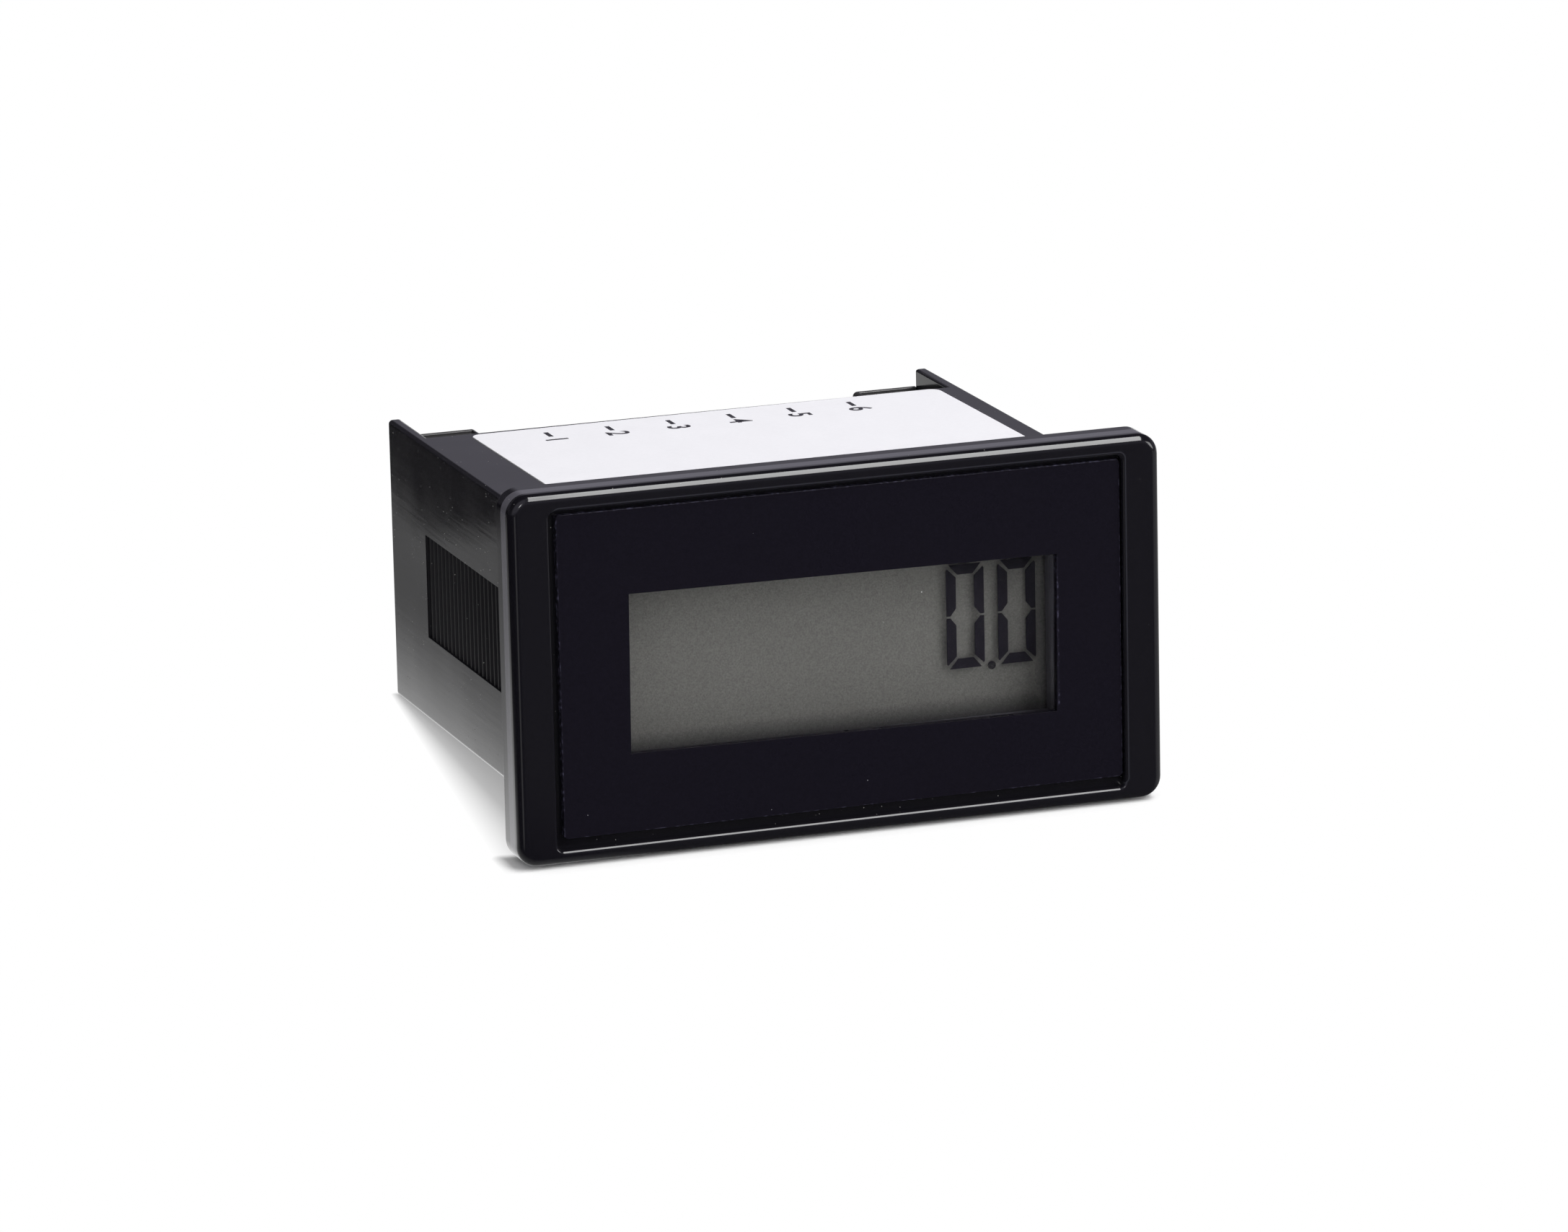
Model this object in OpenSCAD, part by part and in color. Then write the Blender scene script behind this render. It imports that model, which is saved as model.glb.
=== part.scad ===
// Panel-mount counter with an eight-digit liquid crystal display and six screw terminals.
// Millimetres. X runs to the right seen from the front, Y from the front to the rear, Z up.
// The origin is the middle of the bezel's rear face, which seats on the panel.

/* [Bezel] */
// Width of the bezel
bezel_w = 76.2; // [74:0.1:80]
// Height of the bezel
bezel_h = 42; // [40:0.1:46]
// Thickness of the bezel, from its seat on the panel to its front face
bezel_t = 5.1; // [4.6:0.1:6]
// Radius of the bezel's four corners, seen from the front
bezel_corner_r = 2.35; // [2:0.05:3]
// Rounding along the bezel's front edge
bezel_edge_r = 1; // [0.8:0.1:1.2]

/* [Case] */
// Width of the case behind the panel
case_w = 66.6; // [66:0.1:67.4]
// Height of the case behind the panel
case_h = 32.9; // [32:0.1:33]
// How far the middle of the case lies above the middle of the bezel
case_up = 0.22; // [0:0.01:0.5]
// Depth of the case behind the panel
case_d = 56.8; // [54:0.1:64]
// Wall thickness of the case
wall = 1.5; // [1.4:0.1:2]
// Radius of the long edges of the case
case_edge_r = 0.5; // [0.3:0.1:1]
// Length of the top of the case, which stops short of the terminals
deck_d = 45.6; // [44:0.1:46]

/* [Front panel] */
// Width of the recess in the bezel
recess_w = 67.2; // [66.8:0.1:68]
// Height of the recess in the bezel
recess_h = 38.4; // [37.4:0.1:39]
// Depth of the recess below the front face
recess_d = 1.4; // [1:0.1:1.6]
// Width of the front panel
panel_w = 66.1; // [65:0.1:66.4]
// Height of the front panel
panel_h = 36.65; // [36:0.05:37.2]
// Thickness of the front panel
panel_t = 0.9; // [0.6:0.1:1.1]
// Width of the window in the front panel
window_w = 50.3; // [48:0.1:51]
// Height of the window in the front panel
window_h = 18.1; // [17:0.1:19]
// How far the window is turned clockwise from level, in degrees
window_turn = 0.6; // [0:0.1:1]

/* [Display] */
// Height of a digit
digit_h = 12; // [10:0.1:12.4]
// Width of a digit
digit_w = 4.49; // [4:0.01:4.8]
// Distance from one digit to the next
digit_pitch = 6.155; // [5.6:0.005:6.2]
// Width of a digit's segment
segment_w = 1.15; // [0.8:0.05:1.3]
// Width of the display glass
glass_w = 57; // [56:0.5:58]
// Height of the front display glass, which overhangs the rear one above and below
glass_h = 24.4; // [24:0.1:25]

/* [Terminals] */
// Number of screw terminals
terminals = 6; // [6]
// Distance from one terminal to the next
terminal_pitch = 7.62; // [7.4:0.02:7.7]
// Thickness of the ribs between the terminals
rib_t = 1.4; // [1:0.1:1.6]
// Shank radius of a terminal screw
screw_r = 1.45; // [1.4:0.05:1.5]
// Head radius of a terminal screw
screw_head_r = 2.5; // [2.3:0.1:2.7]

/* [Clip racks] */
// Distance from one ratchet tooth to the next
tooth_pitch = 1.47; // [1.3:0.01:1.6]
// Number of ratchet teeth on each side
teeth = 27; // [20:1:28]

/* [Hidden] */
$fn = 64;
sliver = 0.02;                       // how far a cut runs past the face it opens
running = 0.05;                      // radial clearance of a screw in its tapped hole
loose = 0.05;                        // gap between parts that are pushed together

front_y = -bezel_t;
recess_y = front_y + recess_d;
panel_y = recess_y - panel_t;
recess_up = -0.27;                   // the recess sits a little low in the bezel
panel_x = 0.38;                      // the panel is stuck down a little right of the middle
panel_up = 0.1;
window_x = 0.56;
window_up = -0.54;
recess_r = 0.8;
panel_r = 0.45;

case_x = case_w / 2;
case_top = case_up + case_h / 2;
case_bottom = case_up - case_h / 2;
inner_x = case_x - wall;
inner_top = case_top - wall;
inner_bottom = case_bottom + wall;
front_wall_y = recess_y + wall;      // inner face of the wall behind the recess

// Display stack, from the front
tunnel_left = -25.6;
tunnel_right = 25.8;
tunnel_top = 9.4;
tunnel_bottom = -10.4;
display_x = 1.1;                     // middle of the display glass
display_up = -0.4;
glass_y = -0.9;
glass_t = 0.7;
ink_t = 0.1;
ledge_h = 1.3;                       // contact ledge above and below the rear glass
reflector_t = 0.2;
ink_y = glass_y + glass_t;
rear_glass_y = ink_y + ink_t;
reflector_y = rear_glass_y + glass_t;
frame_w = 59.6;
frame_h = 28;
frame_back_y = 2.8;
stake_r = 0.7;                       // stakes of the frame that hold the display board
stake_x = 22;
stake_z = 13.2;
strip_w = 54;
strip_h = 1.1;
digits_right = 24.87;                // right edge of the last digit
digits_bottom = -4.92;
point_r = 0.47;

// Boards
board_t = 1.6;
display_board_y = 3.8;
display_board_w = 61.6;
display_board_h = 28.4;
board_back_y = display_board_y + board_t;
main_board_up = -7.8;                // upper face of the main board
main_board_w = 60;
main_board_y0 = board_back_y + 0.2;
main_board_y1 = 44.3;
header_pins = 6;
header_pitch = 2.54;
header_up = main_board_up + 1.2;     // height of the pins that join the boards
rail_w = 2.3;                        // rails of the case that carry the main board
rail_t = 1;

// Cell
cell_r = 7.25;
cell_l = 25.2;
cell_x = -13.4;
cell_y = 22;
cell_up = main_board_up + cell_r;
tab_t = 0.25;
tab_pin_w = 1.2;

// Terminal block
block_y = 44.4;
seat_y = 48;                         // floor of the terminal bays
block_top = inner_top - loose;
shoulder_x = terminals * terminal_pitch / 2 + rib_t / 2;
shoulder_top = 14.6;
shoulder_ends = [23.9, 22.7];        // inner ends of the right and left shoulders
shoulder_rim_w = 0.6;
shoulder_rim_h = 0.3;
rib_top = 12.6;
bay_floor = -9;
base_y1 = 55;
screw_up = 1;                        // height of the screws
contact_t = 1.2;
contact_w = 5.4;
contact_top = 5.5;
contact_bottom = -6.5;
tail_w = 1.6;
tail_t = 0.8;
clamp_w = 5.6;
clamp_h = 7;
clamp_t = 1;
clamp_y = seat_y + contact_t + loose;
screw_y = clamp_y + clamp_t;         // underside of a screw's head
screw_head_h = 1.9;
screw_l = 6;
well_r = 1.8;
boss_r = 2.9;
boss_y = 43.2;

// Racks
rack_bottom = -6.16;
rack_top = 5.9;
rack_y0 = 3.4;
rack_depth = 0.8;
rack_y1 = rack_y0 + teeth * tooth_pitch;
tooth_h = 0.62;

label_w = 57.4;
label_d = 41.4;
label_t = 0.1;
label_turn = 0.65;                   // the label is stuck down a little out of square

// Middle of terminal i, counted from the left
function terminal_x(i) = (i - (terminals - 1) / 2) * terminal_pitch;

// Place across the boards of pin i of the header
function header_x(i) = (i - (header_pins - 1) / 2) * header_pitch;

// Extrudes a front view, drawn in X and Z, from y0 back to y1
module front_view(y0, y1) {
    translate([0, y1, 0]) rotate([90, 0, 0]) linear_extrude(y1 - y0) children();
}

// Extrudes a side view, drawn in Y and Z, from x0 to x1
module side_view(x0, x1) {
    translate([x0, 0, 0]) rotate([90, 0, 90]) linear_extrude(x1 - x0) children();
}

// A rectangle between two corners, for the views above
module span(low, high) {
    translate(low) square(high - low);
}

// A box between two corners
module block(low, high) {
    translate(low) cube(high - low);
}

// A rectangle about its middle with rounded corners
module rounded(size, r) {
    square([size.x - 2 * r, size.y], center = true);
    square([size.x, size.y - 2 * r], center = true);
    for (sx = [-1, 1], sy = [-1, 1])
        translate([sx * (size.x / 2 - r), sy * (size.y / 2 - r)]) circle(r);
}

// Quarter-round section of the bezel's front edge, with its flat side at x = 0 and y = 0
module edge_section() {
    intersection() {
        circle(bezel_edge_r);
        square(bezel_edge_r);
    }
}

// The bezel's front layer: a flat face whose edge rolls back all round
module rolled_front() {
    inner_w = bezel_w - 2 * bezel_corner_r;
    inner_h = bezel_h - 2 * bezel_corner_r;
    turn_r = bezel_corner_r - bezel_edge_r;
    back_y = front_y + bezel_edge_r;
    front_view(front_y, back_y)
        rounded([bezel_w - 2 * bezel_edge_r, bezel_h - 2 * bezel_edge_r], turn_r);
    translate([0, back_y, 0]) rotate([90, 0, 0]) {
        for (quarter = [0 : 3]) {
            across = quarter % 2 == 0;
            rotate(90 * quarter) {
                translate([(across ? bezel_w : bezel_h) / 2 - bezel_edge_r,
                        (across ? inner_h : inner_w) / 2, 0])
                    rotate([90, 0, 0]) linear_extrude(across ? inner_h : inner_w) edge_section();
                translate([(across ? inner_w : inner_h) / 2, (across ? inner_h : inner_w) / 2, 0])
                    rotate_extrude(angle = 90) translate([turn_r, 0]) edge_section();
            }
        }
    }
}

// Outline of one side's ratchet teeth from above: steep towards the panel, sloping to the rear
module tooth_row() {
    floor_x = case_x - rack_depth;
    polygon([
        [floor_x - wall / 4, rack_y0],
        for (i = [0 : teeth - 1], p = [[0, 0], [tooth_h, 0.1], [tooth_h, 0.35]])
            [floor_x + p.x, rack_y0 + (i + p.y) * tooth_pitch],
        [floor_x, rack_y1],
        [floor_x - wall / 4, rack_y1]
    ]);
}

module housing() {
    color("#101014") {
        difference() {
            union() {
                front_view(front_y + bezel_edge_r, 0) rounded([bezel_w, bezel_h], bezel_corner_r);
                rolled_front();
                front_view(-sliver, case_d)
                    translate([0, case_up]) rounded([case_w, case_h], case_edge_r);
            }
            front_view(front_y - 1, recess_y)
                translate([0, recess_up]) rounded([recess_w, recess_h], recess_r);
            front_view(recess_y - 1, front_wall_y + 1)
                span([tunnel_left, tunnel_bottom], [tunnel_right, tunnel_top]);
            block([-inner_x, front_wall_y, inner_bottom], [inner_x, case_d + 1, inner_top]);
            // the top stops short of the terminals, between the two side walls
            block([-inner_x, deck_d, inner_top - 1], [inner_x, case_d + 1, case_top + 1]);
            for (side = [-1, 1]) scale([side, 1, 1])
                block([case_x - rack_depth, rack_y0, rack_bottom],
                    [case_x + 1, rack_y1, rack_top]);
        }
        for (side = [0, 1]) mirror([side, 0, 0]) {
            translate([0, 0, rack_bottom]) linear_extrude(rack_top - rack_bottom) tooth_row();
            // the wall is thicker inside, behind the rack
            block([inner_x - rack_depth, rack_y0 - rack_depth, rack_bottom - rack_depth],
                [inner_x + sliver, rack_y1 + rack_depth, rack_top + rack_depth]);
            // rail that carries the main board
            block([inner_x - rail_w, main_board_y0, main_board_up - board_t - rail_t],
                [inner_x + sliver, main_board_y1, main_board_up - board_t]);
        }
    }
}

// Outline of the window, a little out of level
module window_outline(grow = 0) {
    translate([window_x, window_up]) rotate(-window_turn)
        square([window_w + 2 * grow, window_h + 2 * grow], center = true);
}

module front_panel() {
    color("#17151f") difference() {
        front_view(panel_y, recess_y)
            translate([panel_x, panel_up]) rounded([panel_w, panel_h], panel_r);
        front_view(panel_y - 1, recess_y + 1) window_outline();
    }
}

module window_lens() {
    color("#8f9088", 0.4) front_view(panel_y, recess_y) window_outline();
}

// Places the four stakes that hold the display board to its frame, in the front view
module at_stakes() {
    for (sx = [-1, 1], sz = [-1, 1]) translate([display_x + sx * stake_x, sz * stake_z]) children();
}

module display_frame() {
    color("#18181a") {
        difference() {
            front_view(front_wall_y, frame_back_y)
                translate([display_x, 0]) square([frame_w, frame_h], center = true);
            front_view(front_wall_y - 1, glass_y + sliver)
                span([tunnel_left, tunnel_bottom], [tunnel_right, tunnel_top]);
            front_view(glass_y, frame_back_y + 1) translate([display_x, display_up])
                square([glass_w + 2 * loose, glass_h + 2 * loose], center = true);
        }
        front_view(frame_back_y - sliver, board_back_y + 0.6) at_stakes() circle(stake_r);
        // feet that space the board off the frame
        front_view(frame_back_y - sliver, display_board_y) at_stakes()
            square([6, 1.3], center = true);
    }
}

module glass_plate(y0, height) {
    front_view(y0, y0 + glass_t)
        translate([display_x, display_up]) square([glass_w, height], center = true);
}

module front_glass() {
    color("#a9ab9c", 0.5) glass_plate(glass_y, glass_h);
}

module rear_glass() {
    color("#a9ab9c", 0.5) glass_plate(rear_glass_y, glass_h - 2 * ledge_h);
}

// Upright segment at a digit's upper left, drawn from the digit's middle
module upright_segment() {
    half_w = digit_w / 2;
    half_h = digit_h / 2;
    polygon([
        [-half_w, 0.12], [segment_w * 0.4 - half_w, 0.12], [segment_w - half_w, segment_w * 0.85],
        [segment_w - half_w, half_h - segment_w * 1.25], [0.12 - half_w, half_h - 0.45],
        [-half_w, half_h - 0.6]
    ]);
}

// Level segment at a digit's top, drawn from the digit's middle
module level_segment() {
    half_w = digit_w / 2;
    half_h = digit_h / 2;
    polygon([
        [0.35 - half_w, half_h], [half_w - 0.35, half_h],
        [half_w - segment_w * 1.15, half_h - segment_w],
        [segment_w * 1.15 - half_w, half_h - segment_w]
    ]);
}

// The six segments of a nought
module nought() {
    for (down = [0, 1]) mirror([0, down]) {
        level_segment();
        for (right = [0, 1]) mirror([right, 0]) upright_segment();
    }
}

module display_segments() {
    color("#2a282e") front_view(ink_y, ink_y + ink_t) {
        for (place = [0, 1])
            translate([digits_right - digit_w / 2 - place * digit_pitch,
                digits_bottom + digit_h / 2]) nought();
        translate([digits_right - (digit_w + digit_pitch) / 2, digits_bottom]) circle(point_r);
    }
}

module reflector() {
    color("#8b8d80") front_view(reflector_y, reflector_y + reflector_t)
        translate([display_x, display_up])
            square([glass_w - 1, glass_h - 2 * ledge_h - 0.2], center = true);
}

// Striped rubber strip that joins the glass to the display board
module contact_strip(side) {
    strip_z = display_up + side * (glass_h / 2 - strip_h / 2 - 0.1);
    color("#c9a6a0") block(
        [display_x - strip_w / 2, ink_y, strip_z - strip_h / 2],
        [display_x + strip_w / 2, display_board_y, strip_z + strip_h / 2]);
}

module contact_strip_upper() { contact_strip(1); }
module contact_strip_lower() { contact_strip(-1); }

module display_board() {
    color("#1f5a38") front_view(display_board_y, board_back_y) difference() {
        square([display_board_w, display_board_h], center = true);
        at_stakes() circle(stake_r + loose);
        for (i = [0 : header_pins - 1]) translate([header_x(i), header_up]) circle(0.5);
    }
}

// Flat-pack driver chip on the rear of the display board
module display_driver() {
    body = 10;
    leads = 10;
    lead_pitch = 0.8;
    color("#222226") translate([14, board_back_y, 3]) {
        front_view(0.1, 1.6) square(body, center = true);
        for (quarter = [0 : 3], i = [0 : leads - 1])
            rotate([0, 90 * quarter, 0])
                translate([(i - (leads - 1) / 2) * lead_pitch - 0.15, 0, body / 2 - sliver])
                    cube([0.3, 0.3, 1.2]);
    }
}

// Pin strip that joins the two boards at a right angle
module board_header() {
    half_w = header_pins * header_pitch / 2;
    strip_y = board_back_y + 1.1;
    strip_h = 2.4;
    pin_half = 0.3;
    color("#26262a") block([-half_w, strip_y, main_board_up],
        [half_w, strip_y + strip_h, main_board_up + strip_h]);
    color("#cdb46a") for (i = [0 : header_pins - 1])
        block([header_x(i) - pin_half, display_board_y - 0.6, header_up - pin_half],
            [header_x(i) + pin_half, strip_y + sliver, header_up + pin_half]);
}

module main_board() {
    color("#1f5a38") translate([0, 0, main_board_up - board_t]) linear_extrude(board_t)
        difference() {
            span([-main_board_w / 2, main_board_y0], [main_board_w / 2, main_board_y1]);
            for (side = [-1, 1])
                translate([side * (main_board_w / 2 - 3.5), main_board_y1 - 3.5]) circle(1.2);
            for (x = [cell_x - (cell_l + tab_t) / 2, cell_x + (cell_l + tab_t) / 2])
                translate([x, cell_y]) square([0.6, tab_pin_w + 0.2], center = true);
        }
}

// Watch crystal lying on the display board, its two leads bent down to it
module quartz_crystal() {
    can_r = 1.05;
    lead_r = 0.16;
    color("#c4c6c8") translate([-20, board_back_y + can_r, 7]) {
        rotate([0, 90, 0]) cylinder(h = 6.2, r = can_r);
        for (side = [-1, 1]) translate([0, 0, side * 0.5]) {
            rotate([0, -90, 0]) cylinder(h = 1.8, r = lead_r);
            translate([-1.8, lead_r, 0]) rotate([90, 0, 0]) cylinder(h = can_r + lead_r, r = lead_r);
        }
    }
}

module lithium_cell() {
    color("#b9bcc0") translate([cell_x - cell_l / 2, cell_y, cell_up]) rotate([0, 90, 0])
        rotate_extrude() polygon([
            [0, 0], [cell_r - 0.5, 0], [cell_r, 0.5], [cell_r, cell_l - 1.8],
            [cell_r - 0.7, cell_l - 1], [2.6, cell_l - 1], [2.6, cell_l], [0, cell_l]
        ]);
}

// Nickel tab from one end of the cell down to the main board
module cell_tab(x) {
    pin_low = main_board_up - board_t - 0.6;
    color("#cfd0cc") {
        block([x, cell_y - 2, main_board_up], [x + tab_t, cell_y + 2, cell_up + 3]);
        block([x, cell_y - tab_pin_w / 2, pin_low], [x + tab_t, cell_y + tab_pin_w / 2, main_board_up]);
    }
}

module cell_tab_left() { cell_tab(cell_x - cell_l / 2 - tab_t); }
module cell_tab_right() { cell_tab(cell_x + cell_l / 2); }

module capacitors() {
    color("#2c3a5e") for (x = [9, 18])
        translate([x, 21, main_board_up]) rotate_extrude() polygon([
            [0, 0], [3.15, 0], [3.15, 1], [2.95, 1.3], [3.15, 1.6], [3.15, 6.6], [2.8, 7], [0, 7]
        ]);
}

module input_resistors() {
    color("#2b2b2b") for (i = [0 : terminals - 1])
        translate([terminal_x(i) - 0.8, 33, main_board_up]) cube([1.6, 3.2, 0.6]);
}

// Rear moulding that closes the case and carries the six terminals
module terminal_block() {
    color("#131316") {
        difference() {
            union() {
                block([-inner_x, block_y, inner_bottom], [inner_x, seat_y, block_top]);
                for (side = [0, 1]) mirror([side, 0, 0]) shoulder(shoulder_ends[side]);
                block([-shoulder_x, seat_y - sliver, inner_bottom],
                    [shoulder_x, base_y1, bay_floor]);
                for (i = [0 : terminals]) terminal_rib(terminal_x(i) - terminal_pitch / 2);
                for (i = [0 : terminals - 1])
                    translate([terminal_x(i), block_y + sliver, screw_up]) rotate([90, 0, 0])
                        cylinder(h = block_y - boss_y + sliver, r = boss_r);
            }
            for (i = [0 : terminals - 1]) translate([terminal_x(i), 0, 0]) {
                translate([0, seat_y + 1, screw_up]) rotate([90, 0, 0])
                    cylinder(h = seat_y + 1 - boss_y - 0.7, r = well_r);
                block([-tail_w / 2, block_y - 1, main_board_up],
                    [tail_w / 2, seat_y + 1, main_board_up + tail_t]);
            }
            // the shoulders are hollow mouldings, open towards the inside of the case
            for (side = [0, 1]) mirror([side, 0, 0])
                block([shoulder_x + wall, block_y - 1, inner_bottom + wall],
                    [inner_x - wall, case_d - wall, shoulder_top - shoulder_rim_h - wall]);
        }
    }
}

// Shoulder beside the terminals: it starts at the last rib, and above that at its own rounded end.
// Its top is sunk inside a rim that runs along its rear and its inner end.
module shoulder(end) {
    corner_r = 0.6;
    difference() {
        front_view(seat_y - sliver, case_d) {
            span([shoulder_x, inner_bottom], [inner_x, rib_top]);
            span([end, rib_top - sliver], [inner_x, shoulder_top - corner_r]);
            span([end + corner_r, rib_top - sliver], [inner_x, shoulder_top]);
            translate([end + corner_r, shoulder_top - corner_r]) circle(corner_r);
        }
        block([end + shoulder_rim_w, seat_y - 1, shoulder_top - shoulder_rim_h],
            [inner_x + 1, case_d - shoulder_rim_w, shoulder_top + 1]);
    }
}

// Rib between two terminals, its upper rear corner rounded
module terminal_rib(x) {
    nose_r = 2.4;
    side_view(x - rib_t / 2, x + rib_t / 2) {
        span([seat_y - sliver, inner_bottom], [case_d, rib_top - nose_r]);
        span([seat_y - sliver, inner_bottom], [case_d - nose_r, rib_top]);
        translate([case_d - nose_r, rib_top - nose_r]) circle(nose_r);
    }
}

// Six brass plates with a tapped hole and a tail that reaches the main board
module contact_plates() {
    tail_y0 = 40;
    color("#c9b06a") for (i = [0 : terminals - 1]) translate([terminal_x(i), 0, 0])
        difference() {
            union() {
                block([-contact_w / 2, seat_y, contact_bottom],
                    [contact_w / 2, seat_y + contact_t, contact_top]);
                block([-tail_w / 2, seat_y, main_board_up],
                    [tail_w / 2, seat_y + contact_t, contact_bottom + sliver]);
                block([-tail_w / 2, tail_y0, main_board_up],
                    [tail_w / 2, seat_y + sliver, main_board_up + tail_t]);
            }
            translate([0, seat_y + contact_t + 1, screw_up]) rotate([90, 0, 0])
                cylinder(h = contact_t + 2, r = screw_r + running);
        }
}

// Square wire clamp with a raised lip at each side that keeps the strands under it
module clamp(i) {
    lip_w = 0.7;
    lip_h = 0.5;
    color("#c8c9cb") translate([terminal_x(i), clamp_y, screw_up]) difference() {
        union() {
            block([-clamp_w / 2, 0, -clamp_h / 2], [clamp_w / 2, clamp_t, clamp_h / 2]);
            for (side = [0, 1]) mirror([0, 0, side])
                block([-clamp_w / 2, clamp_t - sliver, clamp_h / 2 - lip_w],
                    [clamp_w / 2, clamp_t + lip_h, clamp_h / 2]);
        }
        translate([0, clamp_t + 1, 0]) rotate([90, 0, 0])
            cylinder(h = clamp_t + 2, r = screw_r + 2 * running);
    }
}

// Pan-head terminal screw with a straight slot
module screw(i) {
    crown_h = 0.6;
    slot_w = 0.9;
    slot_d = 0.95;
    color("#b7babd") translate([terminal_x(i), screw_y, screw_up]) difference() {
        rotate([-90, 0, 0]) rotate_extrude() polygon([
            [0, -screw_l], [screw_r - 0.4, -screw_l], [screw_r, 0.4 - screw_l], [screw_r, 0],
            [screw_head_r, 0], [screw_head_r, screw_head_h - crown_h],
            [screw_head_r - 0.25, screw_head_h - 0.2], [screw_head_r - 0.8, screw_head_h],
            [0, screw_head_h]
        ]);
        block([-slot_w / 2, screw_head_h - slot_d, -screw_head_r - 1],
            [slot_w / 2, screw_head_h + 1, screw_head_r + 1]);
    }
}

module clamp_1() { clamp(0); }
module clamp_2() { clamp(1); }
module clamp_3() { clamp(2); }
module clamp_4() { clamp(3); }
module clamp_5() { clamp(4); }
module clamp_6() { clamp(5); }
module screw_1() { screw(0); }
module screw_2() { screw(1); }
module screw_3() { screw(2); }
module screw_4() { screw(3); }
module screw_5() { screw(4); }
module screw_6() { screw(5); }

// Plain label on the top of the case
module deck_label() {
    corner_r = 1.3;
    middle = [1.78, 24.1];               // clear of a panel up to 3 mm thick
    color("#f2f1f5") translate([middle.x, middle.y, case_top]) rotate(label_turn)
        linear_extrude(label_t) rounded([label_w, label_d], corner_r);
}

housing();
front_panel();
window_lens();
display_frame();
front_glass();
rear_glass();
display_segments();
reflector();
contact_strip_upper();
contact_strip_lower();
display_board();
display_driver();
board_header();
main_board();
quartz_crystal();
lithium_cell();
cell_tab_left();
cell_tab_right();
capacitors();
input_resistors();
terminal_block();
contact_plates();
deck_label();
clamp_1();
clamp_2();
clamp_3();
clamp_4();
clamp_5();
clamp_6();
screw_1();
screw_2();
screw_3();
screw_4();
screw_5();
screw_6();
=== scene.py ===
"""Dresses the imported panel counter: finishes, printed marks, screws, floor, lamps and camera."""

import math

import bmesh
import bpy
from bpy.props import FloatProperty, FloatVectorProperty, PointerProperty
from bpy.types import NodeSocket, Operator, Panel, PropertyGroup
from mathutils import Matrix, Vector
from mathutils.bvhtree import BVHTree


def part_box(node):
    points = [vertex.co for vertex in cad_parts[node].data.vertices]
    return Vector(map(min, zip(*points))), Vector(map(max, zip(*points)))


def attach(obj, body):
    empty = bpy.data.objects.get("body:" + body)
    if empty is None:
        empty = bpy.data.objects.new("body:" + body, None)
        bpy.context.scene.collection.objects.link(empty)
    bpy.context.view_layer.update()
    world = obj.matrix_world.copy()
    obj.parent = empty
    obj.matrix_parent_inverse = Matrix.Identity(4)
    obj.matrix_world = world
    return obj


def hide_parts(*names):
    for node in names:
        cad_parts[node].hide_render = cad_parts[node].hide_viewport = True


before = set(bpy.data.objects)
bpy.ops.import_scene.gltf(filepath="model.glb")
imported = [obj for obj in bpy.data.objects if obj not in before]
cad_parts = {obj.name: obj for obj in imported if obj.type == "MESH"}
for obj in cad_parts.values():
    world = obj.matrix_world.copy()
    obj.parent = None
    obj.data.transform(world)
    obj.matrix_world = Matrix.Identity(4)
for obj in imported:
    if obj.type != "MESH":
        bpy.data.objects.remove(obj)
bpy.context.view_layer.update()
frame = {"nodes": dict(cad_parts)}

bl_info = {
    "name": "Panel counter",
    "version": (1, 0, 0),
    "blender": (4, 5, 0),
    "location": "3D View > Sidebar > Counter",
    "description": "Finishes a panel-mount counter around its packed frame",
    "category": "Object",
}

MM = 0.001
BODY = "case"
TERMINALS = 6
# Faces that meet at less than FLAT are one face, at more than SHARP an edge that may be rounded,
# and at more than CREASE an edge that is shaded sharp
FLAT = math.radians(0.2)
SHARP = math.radians(30)
CREASE = math.radians(40)
# Places closer than this count as the same
NEAR = 0.01 * MM
# Thickness of the case's walls and the outer face of its side walls
WALL = 1.5 * MM
WALL_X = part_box("terminal_block")[1].x + WALL
# Ends and half height of the space that the ratchet racks lie in
RACK_FRONT = 3.4 * MM
RACK_REAR = 43.3 * MM
RACK_HALF_HEIGHT = 6.2 * MM
# Width of the painted highlight line on the recess lip and of the dusty line round the film
EDGE_LINE = 0.13 * MM
# Linear colours of wear, dust, painted highlights, a painted reflection and painted shade
SCRATCH = (0.06, 0.06, 0.065, 1)
LIP_PAINTED_HIGHLIGHT = (0.022, 0.022, 0.028, 1)
PAINTED_REFLECTION_GREY = (0.085, 0.082, 0.098, 1)
DISPLAY_SHADE = (0.016, 0.015, 0.022, 1)
CASE_DUST_DARK = (0.03, 0.03, 0.032, 1)
CASE_DUST_PALE = (0.4, 0.4, 0.38, 1)
FILM_DUST = (0.2, 0.2, 0.22, 1)
FILM_EDGE_DUST_AND_HIGHLIGHT = (0.1, 0.095, 0.15, 1)
WINDOW_DUST = (0.6, 0.6, 0.6, 1)

# Image points, in pixels of the photograph at 1568 by 1232
IMAGE_W = 1568
IMAGE_H = 1232
IMAGE_L = max(IMAGE_W, IMAGE_H)
POINTS = {
    "left": (390.2, None),
    "right": (1160.3, None),
    "top": (None, 370.1),
    "bottom": (None, 864.6),
    "case_rear_bottom": (398.2, 693.0),
    "panel_top_left": (555.1, 515.4),
    "panel_top_right": (1119.3, 458.7),
    "panel_bottom_left": (564.0, 838.0),
    "panel_bottom_right": (1123.0, 775.4),
    "window_top_left": (628.6, 594.0),
    "window_top_right": (1056.0, 554.4),
    "window_bottom_left": (631.8, 753.7),
    "window_bottom_right": (1057.6, 710.8),
    "label_rear_left": (474.4, 437.4),
    "first_dash": (548.4, 434.6),
    "last_dash": (851.0, 403.9),
}


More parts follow.
